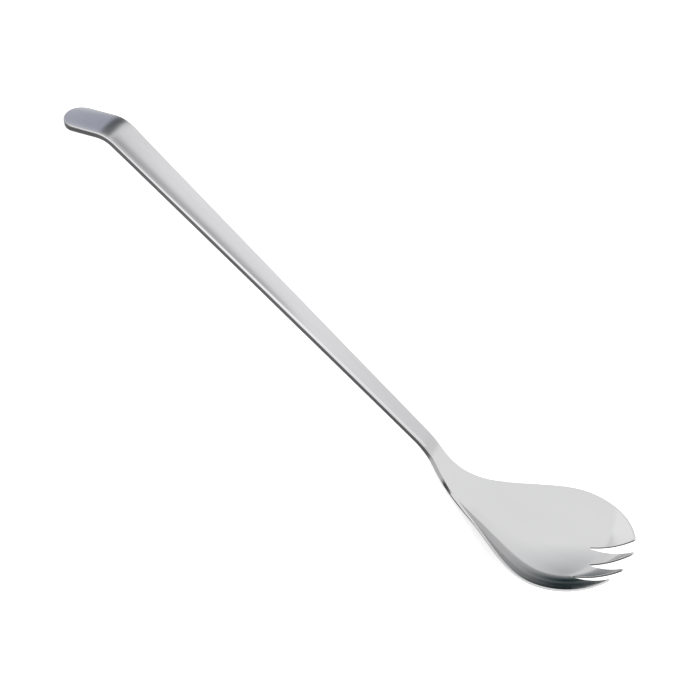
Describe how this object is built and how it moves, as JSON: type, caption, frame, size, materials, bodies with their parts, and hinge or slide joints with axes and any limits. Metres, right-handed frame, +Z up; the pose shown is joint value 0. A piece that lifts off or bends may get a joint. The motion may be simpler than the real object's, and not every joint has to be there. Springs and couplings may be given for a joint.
{
  "type": "serving fork",
  "caption": "Stainless steel serving fork with a tapered brushed handle hooked at its end and a polished dished head whose pointed tines are parted by narrow slots.",
  "frame": {"origin": "middle of the footprint on the table top the fork lies on, face up", "axes": "+X from the hook to the tines, +Y to the left of the fork seen from the hook, +Z up; the belly of the bowl and the hook tip touch Z = 0"},
  "size_m": [0.304, 0.0614, 0.0413],
  "materials": {
    "brushed_steel": "fine satin brush along the handle",
    "weld_metal": "ground flush and polished",
    "polished_steel": "bright polish"
  },
  "bodies": {
    "root": {"handle": "brushed_steel", "neck_weld": "weld_metal", "fork_head": "polished_steel"}
  },
  "joints": []
}
